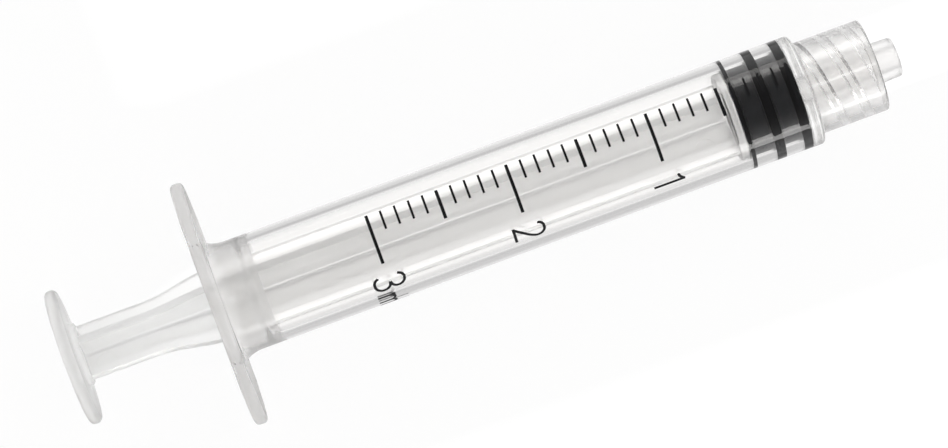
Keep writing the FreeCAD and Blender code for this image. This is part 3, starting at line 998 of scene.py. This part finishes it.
ink_pieces = []
for tenth in range(MARKS):
    if tenth % 10 == 0:
        low_end, width = -1.84, 0.32
    elif tenth % 5 == 0:
        low_end, width = 0.22, 0.33
    else:
        low_end, width = 1.26, 0.235
    bpy.ops.object.select_all(action="DESELECT")
    bpy.ops.mesh.primitive_cube_add(size=1)
    mark = bpy.context.object
    bpy.ops.object.mode_set(mode="EDIT")
    bpy.ops.mesh.select_all(action="SELECT")
    bpy.ops.transform.resize(
        value=(mm(width), mm(INK_THICK), mm(MARK_TOP - low_end)), center_override=(0, 0, 0))
    bpy.ops.transform.translate(
        value=(mm(ZERO_X - ONE_ML * tenth / 10), mm(-INK_THICK / 2), mm((MARK_TOP + low_end) / 2)))
    bpy.ops.object.mode_set(mode="OBJECT")
    ink_pieces.append(mark)
print("marks:", len(ink_pieces))

# %% [markdown]
# The numbers are drawn with one pen width and round turns, as on a technical drawing. Each stroke is a
# Bezier curve through a few points, with a flat rectangle as its bevel object, made a mesh. The signs lie
# across the barrel, with their tops towards the tip, as the real ones do.

# %% Scale, the numbers
PEN = 0.29
STROKES = {
    "3": [[(0.16, 2.62), (0.40, 3.02), (0.85, 3.17), (1.50, 2.88), (1.68, 2.36), (1.42, 1.90),
           (0.90, 1.72)],
          [(0.90, 1.72), (1.50, 1.50), (1.78, 0.95), (1.54, 0.36), (0.88, 0.13), (0.38, 0.28),
           (0.14, 0.66)]],
    "2": [[(0.16, 2.60), (0.36, 2.98), (0.82, 3.14), (1.45, 2.95), (1.72, 2.40), (1.50, 1.80), (0.80, 0.92),
           (0.16, 0.13)],
          [(0.03, 0.13), (1.80, 0.13)]],
    "1": [[(0.0, 2.62), (0.44, 2.78), (0.78, 3.14)], [(0.78, 3.2), (0.78, 0.0)]],
    "m": [[(0.0, 0.0), (0.0, 1.75)],
          [(0.0, 1.15), (0.28, 1.60), (0.66, 1.67), (1.06, 1.46), (1.18, 1.0), (1.18, 0.5), (1.18, 0.0)],
          [(1.18, 1.15), (1.46, 1.60), (1.84, 1.67), (2.24, 1.46), (2.36, 1.0), (2.36, 0.5), (2.36, 0.0)]],
    "l": [[(0.0, 0.0), (0.0, 3.0)]],
}

pen_shape = bpy.data.curves.new("pen", "CURVE")
pen_shape.dimensions = "2D"
tip_line = pen_shape.splines.new("POLY")
tip_line.points.add(3)
for spot, (px, py) in zip(tip_line.points, ((-0.5, -0.5), (0.5, -0.5), (0.5, 0.5), (-0.5, 0.5))):
    spot.co = (mm(px * PEN), mm(py * INK_THICK), 0, 1)
tip_line.use_cyclic_u = True
pen = bpy.data.objects.new("pen", pen_shape)
bpy.context.scene.collection.objects.link(pen)


def sign(shape, x, top_edge):
    """Draw a sign with its foot at x and its left side at that place across the barrel."""
    line = bpy.data.curves.new("sign", "CURVE")
    line.dimensions = "3D"
    line.twist_mode = "Z_UP"
    line.bevel_mode = "OBJECT"
    line.bevel_object = pen
    line.use_fill_caps = True
    line.resolution_u = 6
    for stroke in STROKES[shape]:
        spline = line.splines.new("BEZIER")
        spline.bezier_points.add(len(stroke) - 1)
        for spot, (right, up) in zip(spline.bezier_points, stroke):
            spot.co = (mm(right), mm(up), 0)
            spot.handle_left_type = "AUTO"
            spot.handle_right_type = "AUTO"
    drawn = bpy.data.objects.new("sign", line)
    bpy.context.scene.collection.objects.link(drawn)
    only(drawn)
    bpy.ops.object.convert(target="MESH")
    drawn = bpy.context.object
    drawn.matrix_world = Matrix((
        (0, 1, 0, mm(x)), (0, 0, -1, mm(-INK_THICK / 2)), (-1, 0, 0, mm(top_edge)), (0, 0, 0, 1)))
    bpy.ops.object.transform_apply(location=True, rotation=True, scale=True)
    return drawn


def mark_x(ml):
    """Where the mark for so many millilitres is."""
    return ZERO_X - ONE_ML * ml


SIGNS_EDGE = -3.1
ink_pieces.append(sign("3", mark_x(3) - 1.65, SIGNS_EDGE))
ink_pieces.append(sign("2", mark_x(2) - 1.62, SIGNS_EDGE - 0.1))
ink_pieces.append(sign("1", mark_x(1) - 1.58, SIGNS_EDGE - 0.6))
ink_pieces.append(sign("m", mark_x(3) - 1.65, -5.98))
ink_pieces.append(sign("l", mark_x(3) - 1.65, -9.2))
bpy.data.objects.remove(pen)
print("signs drawn:", len(ink_pieces) - MARKS)

# %% [markdown]
# A long flat face can't bend, so the ink is first cut across into narrow strips. Simple Deform then rolls
# it up, so that its inner side just clears the barrel. Where two ends of a stroke meet, their points are
# welded before the cuts, because the cuts would otherwise leave open edges there.

# %% Scale, bent round the barrel
STRIP = 0.2

only(ink_pieces[0])
for piece in ink_pieces:
    piece.select_set(True)
bpy.ops.object.join()
scale = bpy.context.object
scale.name = "printed_scale"
scale.data.name = "printed_scale"
low = min(vertex.co.z for vertex in scale.data.vertices)
high = max(vertex.co.z for vertex in scale.data.vertices)
bpy.ops.object.mode_set(mode="EDIT")
bpy.ops.mesh.select_all(action="SELECT")
bpy.ops.mesh.remove_doubles(threshold=mm(WELD))
strips = math.ceil((high - low) / mm(STRIP))
for count in range(1, strips):
    bpy.ops.mesh.select_all(action="SELECT")
    cut_at = low + (high - low) * count / strips
    bpy.ops.mesh.bisect(plane_co=(0, 0, cut_at), plane_no=(0, 0, 1))
bpy.ops.object.mode_set(mode="OBJECT")
bend = scale.modifiers.new("round the barrel", "SIMPLE_DEFORM")
bend.deform_method = "BEND"
bend.deform_axis = "X"
bend.angle = (high - low) / mm(INK_R)
bpy.ops.object.modifier_apply(modifier=bend.name)
bpy.ops.object.mode_set(mode="EDIT")
bpy.ops.mesh.select_all(action="SELECT")
bpy.ops.transform.translate(value=(0, mm(-INK_R), 0))
bpy.ops.transform.rotate(value=math.radians(90), orient_axis="X", center_override=(0, 0, 0))
bpy.ops.object.mode_set(mode="OBJECT")
smooth(scale)
scale.data.materials.clear()
scale.data.materials.append(black_ink)
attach(scale, "barrel")
heights = [off_axis(vertex.co) for vertex in scale.data.vertices]
print("ink lies", round(min(heights), 3), "to", round(max(heights), 3), "mm from the axis")
